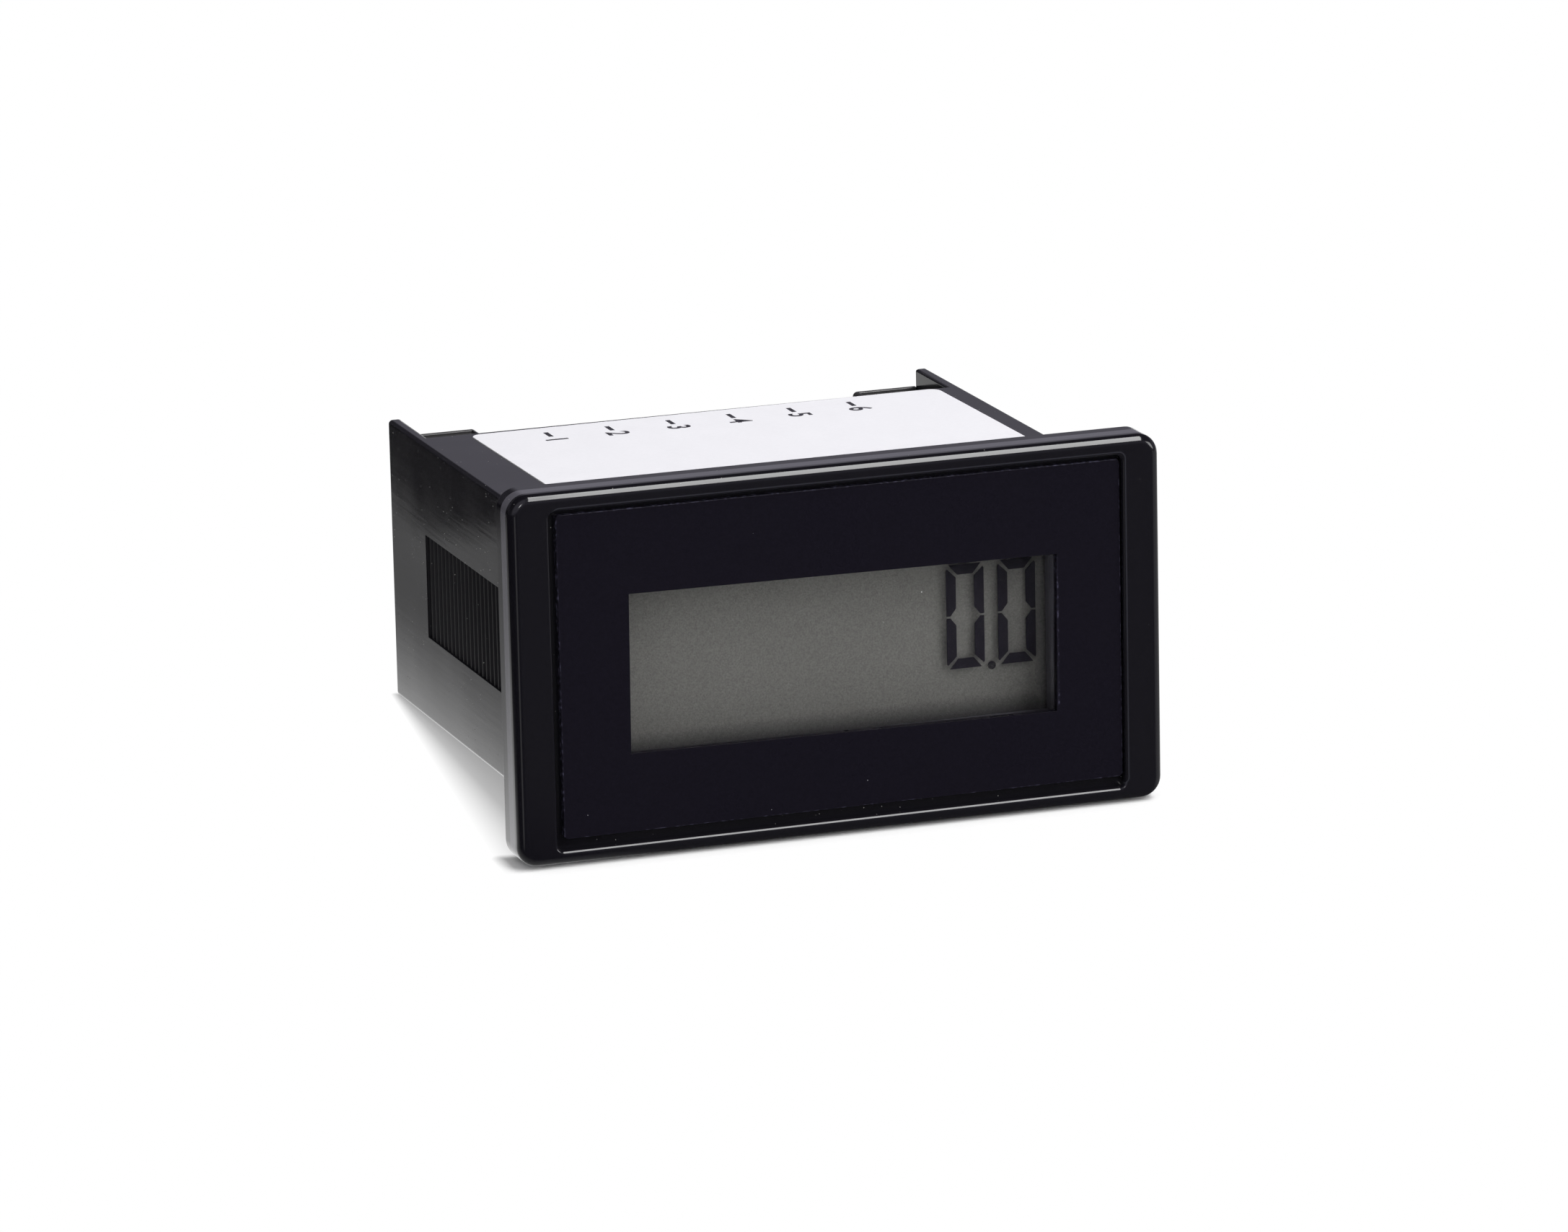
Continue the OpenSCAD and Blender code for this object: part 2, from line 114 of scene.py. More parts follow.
def shown_colour(red, green, blue):
    """Linear colour of a colour given as it shows on a screen, 0 to 255."""
    parts = [v / 255 for v in (red, green, blue)]
    return tuple(v / 12.92 if v <= 0.04045 else ((v + 0.055) / 1.055) ** 2.4 for v in parts)


def plain_value(name, description, default, low, high):
    return FloatProperty(name=name, description=description, default=default, min=low, max=high)


def length_value(name, description, default, low, high):
    return FloatProperty(name=name, description=description, default=default, min=low, max=high,
                         precision=5, subtype="DISTANCE", unit="LENGTH")


def angle_value(name, description, degrees):
    return FloatProperty(name=name, description=description, default=math.radians(degrees),
                         subtype="ANGLE", unit="ROTATION")


def colour_value(name, description, red, green, blue):
    return FloatVectorProperty(name=name, description=description, size=3, min=0, max=1,
                               default=shown_colour(red, green, blue), subtype="COLOR")


class CounterStage(PropertyGroup):
    """Camera, lamps and floor."""

    aim: FloatVectorProperty(name="Aim", description="Point that the camera looks at", size=3,
                             default=(-0.0042, 0.00216, 0.00267), subtype="TRANSLATION",
                             unit="LENGTH")
    distance: length_value("Distance", "From the camera to the aim", 0.9246, 0.3, 3)
    azimuth: angle_value("Azimuth", "Turn of the camera to the left of the front", 19.136)
    elevation: angle_value("Elevation", "Height of the camera above level", 14.0)
    roll: angle_value("Roll", "Clockwise turn of the camera about its own line", 1.258)
    lens: plain_value("Lens", "Focal length, in millimetres", 190.66, 20, 400)
    sensor: plain_value("Sensor", "Sensor width, in millimetres", 36, 10, 50)
    floor_radius: length_value("Floor radius", "Radius of the pale sheet on the table", 0.6, 0.1, 1)
    pool_reach: length_value("Pool reach", "Distance in which the reflected pool of light fades",
                             9 * MM, MM, 100 * MM)
    pool_level: plain_value("Pool level", "Reflected light beside the part", 1.1, 0, 5)
    floor_level: plain_value("Floor level", "Reflected light of the far floor", 0.24, 0, 1)
    key_power: plain_value("Key lamp", "Power of the overhead softbox, in watts", 8.2, 0, 200)
    fill_power: plain_value("Fill lamp", "Power of the low lamp on the right, in watts", 2.4, 0, 200)
    glint_power: plain_value("Glint lamp", "Power of the small lamp by the camera, in watts", 0.75,
                             0, 200)
    ambient: plain_value("Ambient", "Level of the light from all round", 0.55, 0, 1)


class CounterCase(PropertyGroup):
    """Roundings of the moulded case and bezel."""

    lip: length_value("Recess lip", "Rounding of the bezel's edge round the front panel",
                      0.35 * MM, 0, MM)
    rim: length_value("Bezel rim", "Rounding of the bezel's rear edge", 0.25 * MM, 0, MM)
    wall_end: length_value("Wall end", "Rounding of the side walls' free ends", 0.4 * MM, 0, MM)
    cut_edge: length_value("Cut edge", "Rounding of pockets and cut edges", 0.15 * MM, 0, MM)
    tooth_edge: length_value("Tooth edge", "Rounding of the ratchet teeth", 0.05 * MM, 0, 0.1 * MM)


class CounterMarks(PropertyGroup):
    """Printed dashes and numerals on the label."""

    dash_length: length_value("Dash length", "Length of a printed dash", 2.25 * MM, MM, 4 * MM)
    dash_width: length_value("Dash width", "Width of a printed dash", 0.56 * MM, 0.2 * MM, 2 * MM)
    numeral_height: length_value("Numeral height", "Height of a printed numeral", 2.6 * MM, MM,
                                 5 * MM)
    numeral_gap: length_value("Gap", "From a dash to its numeral", 1.0 * MM, 0, 5 * MM)
    ink: length_value("Ink", "Thickness of the print", 0.02 * MM, 0.005 * MM, 0.1 * MM)


class CounterColours(PropertyGroup):
    """Colours of the finishes."""

    plastic: colour_value("Case plastic", "Moulded case and bezel", 17, 16, 21)
    block: colour_value("Block plastic", "Terminal block", 52, 51, 52)
    frame: colour_value("Frame plastic", "Frame behind the window", 66, 65, 71)
    film: colour_value("Panel film", "Printed front panel", 18, 16, 24)
    window: colour_value("Window", "Clear window", 25, 25, 28)
    glass: colour_value("Glass", "Display glass", 39, 41, 39)
    reflector: colour_value("Reflector", "Grey behind the display glass", 126, 125, 122)
    digits: colour_value("Digits", "Lit segments", 34, 31, 40)
    label: colour_value("Label", "Printed label on the case", 240, 239, 244)
    print_ink: colour_value("Print", "Marks on the label", 50, 48, 56)
    board: colour_value("Board", "Solder mask", 18, 74, 42)
    chip: colour_value("Chip", "Driver and resistors", 36, 36, 38)
    header: colour_value("Header", "Board header", 30, 30, 32)
    sleeve: colour_value("Sleeve", "Capacitor sleeves", 34, 48, 92)
    rubber: colour_value("Rubber", "Insulating layers of the contact strips", 214, 178, 170)
    layers: colour_value("Layers", "Conducting layers of the contact strips", 60, 58, 60)
    brass: colour_value("Brass", "Terminal contacts", 196, 164, 92)
    zinc: colour_value("Zinc", "Screws and clamps", 196, 198, 202)
    nickel: colour_value("Nickel", "Cell and its tabs", 205, 205, 200)


# -------- Shader trees


class Tree:
    """Adds nodes to a shader tree, with their settings and inputs in one call."""

    def __init__(self, tree):
        self.tree = tree

    def fill(self, node, inputs):
        """Sets a node's inputs, or links them to the outputs of other nodes."""
        for key, value in inputs.items():
            if isinstance(value, NodeSocket):
                self.tree.links.new(value, node.inputs[key])
            else:
                node.inputs[key].default_value = value
        return node

    def add(self, kind, inputs=None, **settings):
        node = self.tree.nodes.new("ShaderNode" + kind)
        for key, value in settings.items():
            setattr(node, key, value)
        return self.fill(node, inputs or {})

    def math(self, operation, first, second=0.0, third=0.0):
        return self.add("Math", {0: first, 1: second, 2: third}, operation=operation).outputs[0]

    def product(self, first, *others):
        for other in others:
            first = self.math("MULTIPLY", first, other)
        return first

    def between(self, share, first, second):
        """The first value where the share is 0, the second where it is 1."""
        return self.math("MULTIPLY_ADD", share, self.math("SUBTRACT", second, first), first)

    def range(self, value, low, high, to_low=0.0, to_high=1.0):
        inputs = {"Value": value, "From Min": low, "From Max": high,
                  "To Min": to_low, "To Max": to_high}
        return self.add("MapRange", inputs).outputs[0]

    def above(self, value, edge, width=0.1 * MM):
        """Rises from 0 to 1 over a width past an edge."""
        return self.range(value, edge, edge + width)

    def below(self, value, edge, width=0.1 * MM):
        """Falls from 1 to 0 over a width that ends at an edge."""
        return self.range(value, edge - width, edge, 1.0, 0.0)

    def mix(self, share, first, second):
        """A colour between two."""
        return self.add("Mix", {0: share, 6: first, 7: second}, data_type="RGBA").outputs[2]

    def vector(self, operation, first, second=(0, 0, 0)):
        return self.add("VectorMath", {0: first, 1: second}, operation=operation).outputs[0]

    def axes(self, vector):
        """The X, Y and Z of a vector."""
        return self.add("SeparateXYZ", {0: vector}).outputs

    def stretched(self, place, scale, turn=(0, 0, 0)):
        inputs = {"Vector": place, "Rotation": turn, "Scale": scale}
        return self.add("Mapping", inputs).outputs[0]

    def noise(self, place, scale, detail, roughness=0.5):
        inputs = {"Vector": place, "Scale": scale, "Detail": detail, "Roughness": roughness}
        return self.add("TexNoise", inputs).outputs[0]

    def bump(self, height, strength, distance):
        inputs = {"Height": height, "Strength": strength, "Distance": distance}
        return self.add("Bump", inputs).outputs[0]

    def effect(self, group, place, **inputs):
        """Places a shared effect in this tree and returns its outputs."""
        return self.add("Group", {"Vector": place, **inputs}, node_tree=group).outputs


def effect_group(name, inputs, outputs, fill):
    """A node group that works on a Vector and other inputs, built once.

    inputs gives their defaults, outputs the names. fill(tree, inside) makes the nodes.
    """
    group = bpy.data.node_groups.get(name)
    if group is not None:
        return group
    group = bpy.data.node_groups.new(name, "ShaderNodeTree")
    for label, value in {"Vector": (0, 0, 0), **inputs}.items():
        kind = "Float" if isinstance(value, float) else {3: "Vector", 4: "Color"}[len(value)]
        socket = group.interface.new_socket(name=label, in_out="INPUT",
                                            socket_type="NodeSocket" + kind)
        socket.default_value = value
    for label in outputs:
        kind = "Color" if label == "Color" else "Float"
        group.interface.new_socket(name=label, in_out="OUTPUT", socket_type="NodeSocket" + kind)
    inside = group.nodes.new("NodeGroupInput")
    leaving = group.nodes.new("NodeGroupOutput")
    tree = Tree(group)
    tree.fill(leaving, fill(tree, inside.outputs))
    return group


def dust_specks():
    """Scattered round specks, each of its own size and tone."""
    def fill(tree, inside):
        cells = tree.add("TexVoronoi", {"Vector": inside["Vector"], "Scale": inside["Scale"]})
        drawn = tree.add("SeparateColor", {0: cells.outputs["Color"]}).outputs
        kept = tree.math("LESS_THAN", drawn[0], inside["Amount"])
        radius = tree.product(drawn[1], inside["Size"])
        close = tree.math("LESS_THAN", cells.outputs["Distance"], radius)
        return {"Mask": tree.product(kept, close), "Tone": drawn[2]}

    return effect_group("Dust specks", {"Scale": 1000.0, "Size": 0.08, "Amount": 0.5},
                        ("Mask", "Tone"), fill)


def dust_and_highlight_outline():
    """A narrow line along a rounded rectangle that is drawn in X and Z."""
    def fill(tree, inside):
        away = tree.vector("ABSOLUTE", tree.vector("SUBTRACT", inside["Vector"], inside["Middle"]))
        past = tree.vector("SUBTRACT", away, inside["Half"])
        outside = tree.vector("MAXIMUM", past)
        reach = tree.add("VectorMath", {0: outside}, operation="LENGTH").outputs["Value"]
        sides = tree.axes(past)
        within = tree.math("MINIMUM", tree.math("MAXIMUM", sides[0], sides[2]))
        gap = tree.math("SUBTRACT", tree.math("ADD", reach, within), inside["Radius"])
        return {"Mask": tree.range(tree.math("ABSOLUTE", gap), 0.0, inside["Width"], 1.0, 0.0)}

    return effect_group("Dust and highlight outline", {"Middle": (0, 0, 0), "Half": (1, 1, 1),
                                         "Width": 0.2 * MM, "Radius": 0.0},
                        ("Mask",), fill)


def hairlines():
    """Fine broken scratches along the stretched direction of its vector."""
    def fill(tree, inside):
        streaks = tree.noise(inside["Vector"], inside["Scale"], 2.0)
        off = tree.math("ABSOLUTE", tree.math("SUBTRACT", streaks, 0.5))
        line = tree.range(off, 0.0, inside["Width"], 1.0, 0.0)
        broken = tree.range(tree.noise(inside["Vector"], 60.0, 1.0), 0.48, 0.62)
        return {"Mask": tree.product(line, broken)}

    return effect_group("Hairlines", {"Scale": 2000.0, "Width": 0.02}, ("Mask",), fill)


def uneven_finish():
    """A value that wanders between two levels."""
    def fill(tree, inside):
        broad = tree.noise(inside["Vector"], inside["Scale"], 4.0, 0.6)
        return {"Value": tree.range(broad, 0.3, 0.7, inside["Low"], inside["High"])}

    return effect_group("Uneven finish", {"Scale": 200.0, "Low": 0.1, "High": 0.2}, ("Value",),
                        fill)


def moulded_skin():
    """Height of a moulded or drawn surface: a slow ripple under a fine grain."""
    def fill(tree, inside):
        ripple = tree.noise(inside["Vector"], inside["Ripple"], 1.0)
        grain = tree.noise(inside["Vector"], inside["Grain"], 2.0)
        return {"Height": tree.math("ADD", ripple, tree.product(grain, inside["Share"]))}

    return effect_group("Moulded skin", {"Ripple": 300.0, "Grain": 5000.0, "Share": 0.2},
                        ("Height",), fill)


def speckle():
    """A colour broken up by a fine lighter and darker grain."""
    def fill(tree, inside):
        grain = tree.noise(inside["Vector"], inside["Scale"], 3.0, 0.7)
        share = tree.range(grain, 0.32, 0.68)
        return {"Color": tree.mix(share, inside["Dark"], inside["Light"]), "Share": share}

    return effect_group("Speckle", {"Scale": 8000.0, "Dark": (0, 0, 0, 1), "Light": (1, 1, 1, 1)},
                        ("Color", "Share"), fill)


# -------- Materials


def new_material(name):
    """A material with its tree, its Principled shader and its Object coordinates."""
    material = bpy.data.materials.new(name)
    material.use_nodes = True
    tree = Tree(material.node_tree)
    shader = material.node_tree.nodes["Principled BSDF"]
    place = tree.add("TexCoord").outputs["Object"]
    return material, tree, shader, place


def shade_of(colour, factor=1.0):
    """A lighter or darker shade of a colour, with its alpha."""
    return (*(min(1.0, part * factor) for part in colour), 1.0)


def uneven(tree, place, scale, low, high):
    return tree.effect(uneven_finish(), place, Scale=scale, Low=low, High=high)["Value"]


def speckled(tree, place, scale, colour, dark, light):
    """Outputs of the speckle between two shades of a colour."""
    return tree.effect(speckle(), place, Scale=scale, Dark=shade_of(colour, dark),
                       Light=shade_of(colour, light))


def grained(tree, place, ripple, grain, share, strength, distance):
    """Normal of a moulded or drawn surface."""
    skin = tree.effect(moulded_skin(), place, Ripple=ripple, Grain=grain, Share=share)["Height"]
    return tree.bump(skin, strength, distance)


def outline_mask(tree, place, low, high, width, radius=0.0):
    """Line along the outline of a box, seen from the front, with rounded corners."""
    middle = (low + high) / 2
    half = (high - low) / 2 - Vector((radius, 0, radius))
    return tree.effect(dust_and_highlight_outline(), place, Middle=(middle.x, 0, middle.z),
                       Half=(half.x, 1, half.z), Width=width, Radius=radius)["Mask"]


def plastic(name, colour, sheen, level, dust, scratches, ripple, extra=None):
    """Moulded plastic with a slow ripple, dust, and handling marks on the case's side walls.

    sheen is its lowest and highest roughness. extra(tree, place, colour) may give a clean colour of
    its own, with painted highlights and a painted reflection in it, and some more roughness.
    """
    material, tree, shader, place = new_material(name)
    x, y = tree.axes(place)[:2]
    on_wall = tree.product(tree.above(tree.math("ABSOLUTE", x), WALL_X - 0.3 * MM, 0.2 * MM),
                           tree.above(y, 0.0, MM))
    askew = tree.stretched(place, (1.0, 0.04, 1.0), turn=(0.6, 0.0, 0.4))
    lines = tree.effect(hairlines(), askew, Scale=1500.0, Width=0.012)["Mask"]
    worn_off = tree.product(lines, on_wall, scratches)
    amount = tree.product(uneven(tree, place, 110.0, 0.1, 1.0),
                          tree.range(on_wall, 0.0, 1.0, 0.3 * dust, dust))
    specks = tree.effect(dust_specks(), tree.stretched(place, (1.0, 0.5, 1.0)), Scale=2300.0,
                         Size=0.15, Amount=amount)
    grey = tree.mix(specks["Tone"], CASE_DUST_DARK, CASE_DUST_PALE)
    clean, rougher = extra(tree, place, shade_of(colour)) if extra else (shade_of(colour), 0.0)
    satin = tree.math("ADD", uneven(tree, place, 140.0, *sheen), rougher)
    skin = tree.effect(moulded_skin(), place, Ripple=90.0, Grain=1500.0, Share=0.004)["Height"]
    streaks = tree.noise(tree.stretched(place, (1.0, 0.06, 1.0)), 1300.0, 3.0)
    rubbed = tree.product(streaks, tree.product(on_wall, 0.3))
    tree.fill(shader, {
        "Base Color": tree.mix(specks["Mask"], tree.mix(worn_off, clean, SCRATCH), grey),
        "Roughness": tree.math("ADD", satin, tree.product(specks["Mask"], 0.6)),
        "Normal": tree.bump(tree.math("ADD", skin, rubbed), 1.0, ripple),
        "Specular IOR Level": level,
    })
    return material


def case_painted_light_and_racks(tree, place, colour):
    """A painted highlight line on the recess lip, duller racks, and a painted reflection: greyer
    colour behind the panel.

    The painted reflection shows in the window opening and as a lighter band round the bezel's outer
    sides.
    """
    low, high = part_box("front_panel")
    x, y, z = tree.axes(place)
    grow = Vector((0.55, 0, 0.87)) * MM
    # Painted highlight: a lighter line along the rounded recess lip
    lip = outline_mask(tree, place, low - grow, high + grow, EDGE_LINE, radius=0.8 * MM)
    lip_highlight = tree.product(lip, tree.below(y, high.y - 0.8 * MM))
    # Painted reflection: greyer colour for 1.9 mm behind the back of the front panel, in the window
    # opening and round the bezel
    behind = tree.product(tree.above(y, high.y), tree.below(y, high.y + 1.9 * MM))
    along = tree.product(tree.above(y, RACK_FRONT), tree.below(y, RACK_REAR))
    sunk = tree.below(tree.math("ABSOLUTE", x), WALL_X - 0.08 * MM, 0.04 * MM)
    rack = tree.product(sunk, along, tree.below(tree.math("ABSOLUTE", z), RACK_HALF_HEIGHT))
    return (tree.mix(behind, tree.mix(lip_highlight, colour, LIP_PAINTED_HIGHLIGHT), PAINTED_REFLECTION_GREY),
            tree.product(rack, 0.45))


def case_plastic(colours):
    return plastic("Case plastic", colours.plastic, sheen=(0.09, 0.15), level=0.5, dust=0.9,
                   scratches=0.25, ripple=0.05 * MM, extra=case_painted_light_and_racks)


def block_plastic(colours):
    return plastic("Block plastic", colours.block, sheen=(0.25, 0.35), level=0.5, dust=0.5,
                   scratches=0.1, ripple=0.02 * MM)


def frame_plastic(colours):
    return plastic("Frame plastic", colours.frame, sheen=(0.4, 0.5), level=0.3, dust=0.3,
                   scratches=0.0, ripple=0.01 * MM)


def panel_film(colours):
    """Back-printed film: an even purple black under a fine satin surface, with dusty edges and a
    painted highlight along the window's right edge.
    """
    material, tree, shader, place = new_material("Panel film")
    ink = speckled(tree, place, 6000.0, colours.film, 0.8, 1.2)["Color"]
    outer = outline_mask(tree, place, *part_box("front_panel"), EDGE_LINE)
    low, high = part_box("window_lens")
    spot = tree.axes(place)
    from_middle = tree.math("ABSOLUTE", tree.math("SUBTRACT", spot[2], (low.z + high.z) / 2))
    # Along the window's right edge the dusty line is partly a painted highlight
    right_edge = tree.product(tree.above(spot[0], 25.6 * MM, 0.3 * MM),
                              tree.below(from_middle, (high.z - low.z) / 2 - 0.7 * MM, 0.3 * MM))
    window_edge_dust_and_highlight = tree.product(right_edge, outline_mask(tree, place, low, high, 0.2 * MM))
    lint = tree.math("MAXIMUM", uneven(tree, place, 1800.0, -1.2, 1.2), 0.05)
    edge = tree.mix(tree.product(tree.math("MAXIMUM", outer, window_edge_dust_and_highlight), lint), ink, FILM_EDGE_DUST_AND_HIGHLIGHT)
    specks = tree.effect(dust_specks(), place, Scale=700.0, Size=0.05, Amount=0.06)["Mask"]
    tree.fill(shader, {
        "Base Color": tree.mix(specks, edge, FILM_DUST),
        "Roughness": uneven(tree, place, 90.0, 0.26, 0.32),
        "Normal": grained(tree, place, 120.0, 9000.0, 0.1, strength=0.05, distance=0.01 * MM),
        "Specular IOR Level": 0.07,
    })
    return material


def clear_sheet(name, colour, see_through, roughness, dust):
    """A clear plate whose alpha is low, with a little dust that isn't clear."""
    material, tree, shader, place = new_material(name)
    specks = tree.effect(dust_specks(), place, Scale=600.0, Size=0.06, Amount=dust)["Mask"]
    tree.fill(shader, {
        "Base Color": tree.mix(specks, shade_of(colour), WINDOW_DUST),
        "Alpha": tree.range(specks, 0.0, 1.0, 1 - see_through, 0.9),
        "Roughness": roughness,
        "Specular IOR Level": 0.3,
    })
    return material


def window_clear(colours):
    return clear_sheet("Window clear", colours.window, see_through=0.94, roughness=0.12, dust=0.05)


def display_glass(colours):
    return clear_sheet("Display glass", colours.glass, see_through=0.95, roughness=0.05, dust=0.02)


def display_back(colours):
    """Grey reflector behind the glass: a sparkling foil, with painted shade at the right and at the
    bottom.
    """
    material, tree, shader, place = new_material("Display back")
    foil = speckled(tree, place, 6000.0, colours.reflector, 0.76, 1.24)["Color"]
    clouded = tree.mix(uneven(tree, place, 900.0, 0.0, 0.16), foil,
                       shade_of(colours.reflector, 0.8))
    spot = tree.axes(place)
    # Painted shade of the window opening's walls, darker towards the right and the bottom
    shade = tree.math("MAXIMUM", tree.product(tree.above(spot[0], 24.9 * MM, 1.1 * MM), 0.45),
                      tree.product(tree.below(spot[2], -8.4 * MM, 2.5 * MM), 0.85))
    tree.fill(shader, {"Base Color": tree.mix(shade, clouded, DISPLAY_SHADE), "Roughness": 0.7,
                       "Specular IOR Level": 0.2})
    return material


def display_ink(colours):
    material, tree, shader, place = new_material("Display ink")
    tree.fill(shader, {
        "Base Color": speckled(tree, place, 5200.0, colours.digits, 0.85, 1.15)["Color"],
        "Roughness": 0.6,
        "Specular IOR Level": 0.1,
    })
    return material


def label_paper(colours):
    """Matt white label with a faint fibre."""
    material, tree, shader, place = new_material("Label paper")
    fibre = speckled(tree, place, 1800.0, colours.label, 0.975, 1.0)
    tree.fill(shader, {"Base Color": fibre["Color"],
                       "Roughness": uneven(tree, place, 300.0, 0.45, 0.55),
                       "Normal": tree.bump(fibre["Share"], 0.1, 0.01 * MM)})
    return material


def print_ink(colours):
    material, tree, shader, place = new_material("Print ink")
    ink = speckled(tree, place, 4000.0, colours.print_ink, 0.8, 1.6)["Color"]
    tree.fill(shader, {"Base Color": ink, "Roughness": 0.55})
    return material


def metal(name, colour, sheen, stretch, strength):
    """Plated metal: brushed or turned marks, uneven sheen and a little tarnish."""
    material, tree, shader, place = new_material(name)
    drawn = tree.stretched(place, stretch)
    tarnish = uneven(tree, place, 500.0, 0.0, 0.5)
    tree.fill(shader, {
        "Base Color": tree.mix(tarnish, shade_of(colour), shade_of(colour, 0.72)),
        "Metallic": 1.0,
        "Roughness": uneven(tree, drawn, 1500.0, *sheen),
        "Normal": grained(tree, drawn, 2500.0, 9000.0, 0.4, strength, distance=0.02 * MM),
    })
    return material


def contact_brass(colours):
    return metal("Contact brass", colours.brass, (0.22, 0.38), (1, 1, 0.1), 0.2)


def screw_zinc(colours):
    return metal("Screw zinc", colours.zinc, (0.2, 0.36), (1, 1, 1), 0.15)


def clamp_plate(colours):
    return metal("Clamp plate", colours.zinc, (0.28, 0.45), (0.1, 1, 1), 0.2)


def tab_nickel(colours):
    return metal("Tab nickel", colours.nickel, (0.25, 0.4), (1, 1, 0.1), 0.15)


def can_steel(colours):
    return metal("Can steel", colours.nickel, (0.2, 0.32), (0.1, 1, 1), 0.15)


def moulded_part(name, colour, low, high):
    """Plain moulded or sleeved part with a fine skin."""
    material, tree, shader, place = new_material(name)
    tree.fill(shader, {
        "Base Color": speckled(tree, place, 2500.0, colour, 0.85, 1.15)["Color"],
        "Roughness": uneven(tree, place, 600.0, low, high),
        "Normal": grained(tree, place, 900.0, 6000.0, 0.5, strength=0.2, distance=0.02 * MM),
    })
    return material


def chip_black(colours):
    return moulded_part("Chip black", colours.chip, 0.55, 0.7)


def header_black(colours):
    return moulded_part("Header black", colours.header, 0.4, 0.5)


def sleeve_blue(colours):
    return moulded_part("Sleeve blue", colours.sleeve, 0.25, 0.35)


def contact_rubber(colours):
    """Rubber strip with the fine dark layers that carry the display's contacts."""
    material, tree, shader, place = new_material("Contact rubber")
    layers = tree.add("TexWave", {"Vector": place, "Scale": 1600.0}, bands_direction="X")
    dark = tree.range(layers.outputs["Fac"], 0.3, 0.7)
    tree.fill(shader, {
        "Base Color": tree.mix(dark, shade_of(colours.rubber), shade_of(colours.layers)),
        "Roughness": 0.7,
    })
    return material


def board_green(colours):
    """Solder mask over tracks: broad lighter lines under a glossy coat."""
    material, tree, shader, place = new_material("Board green")
    tracks = tree.add("TexBrick", {"Vector": place, "Scale": 260.0, "Mortar Size": 0.03,
                                   "Color1": shade_of(colours.board),
                                   "Color2": shade_of(colours.board, 0.9),
                                   "Mortar": shade_of(colours.board, 1.7)})
    tree.fill(shader, {"Base Color": tracks.outputs["Color"],
                       "Roughness": uneven(tree, place, 400.0, 0.25, 0.4)})
    return material


FINISHES = {make.__name__: make for make in (
    case_plastic, panel_film, window_clear, frame_plastic, display_glass, display_ink,
    display_back, contact_rubber, board_green, chip_black, header_black, can_steel, tab_nickel,
    sleeve_blue, block_plastic, contact_brass, label_paper, clamp_plate, screw_zinc, print_ink)}
_made = {}


def finish(slot):
    """The material of a slot, built the first time it is asked for."""
    if slot not in _made:
        _made[slot] = FINISHES[slot](bpy.context.scene.counter_colours)
    return _made[slot]


def dress(finishes):
    """Gives the CAD nodes that stay in view their finishes."""
    for node, slot in finishes.items():
        materials = frame["nodes"][node].data.materials
        materials.clear()
        materials.append(finish(slot))


# -------- Meshes


def join(target, source):
    """Adds one bmesh to another and frees it."""
    spare = bpy.data.meshes.new("spare")
    source.to_mesh(spare)
    source.free()
    target.from_mesh(spare)
    bpy.data.meshes.remove(spare)


def new_piece(name, mesh_data, material, body):
    """Links a bmesh as a piece that rides on a body."""
    mesh = bpy.data.meshes.new(name)
    mesh_data.to_mesh(mesh)
    mesh_data.free()
    mesh.materials.append(material)
    piece = bpy.data.objects.new(name, mesh)
    bpy.context.scene.collection.objects.link(piece)
    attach(piece, body)
    return piece


def welded(node):
    """A CAD node's mesh with its doubles merged and its flat faces whole."""
    mesh = bmesh.new()
    mesh.from_mesh(frame["nodes"][node].data)
    bmesh.ops.remove_doubles(mesh, verts=mesh.verts, dist=0.001 * MM)
    bmesh.ops.dissolve_limit(mesh, angle_limit=FLAT, verts=mesh.verts, edges=mesh.edges)
    return mesh


def softened(name, node, slot, rounding, body=BODY):
    """A piece that stands for a CAD node, with its outer edges rounded.

    rounding takes the middle of a sharp edge and gives the width of its rounding, or 0.
    """
    mesh = welded(node)
    found = {}
    for edge in mesh.edges:
        if edge.calc_face_angle_signed(0) > SHARP:
            found[edge.index] = rounding((edge.verts[0].co + edge.verts[1].co) / 2)
    widest = max(found.values(), default=0)
    weight = mesh.edges.layers.float.new("bevel_weight_edge")
    mesh.edges.ensure_lookup_table()
    for index, width in found.items():
        mesh.edges[index][weight] = width / widest if widest else 0
    piece = new_piece(name, mesh, finish(slot), body)
    if widest:
        bevel = piece.modifiers.new("Rounded edges", "BEVEL")
        bevel.limit_method = "WEIGHT"
        bevel.width = widest
        bevel.segments = 3
        bevel.profile = 0.5
        bevel.use_clamp_overlap = False
        bevel.miter_outer = "MITER_SHARP"
    rounded = bmesh.new()
    rounded.from_object(piece, bpy.context.evaluated_depsgraph_get())
    piece.modifiers.clear()
    for face in rounded.faces:
        face.smooth = True
    for edge in rounded.edges:
        edge.smooth = edge.calc_face_angle(0) < CREASE
    rounded.to_mesh(piece.data)
    rounded.free()
    even = piece.modifiers.new("Even shading", "WEIGHTED_NORMAL")
    even.weight = 100
    even.keep_sharp = True
    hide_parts(node)
    return piece


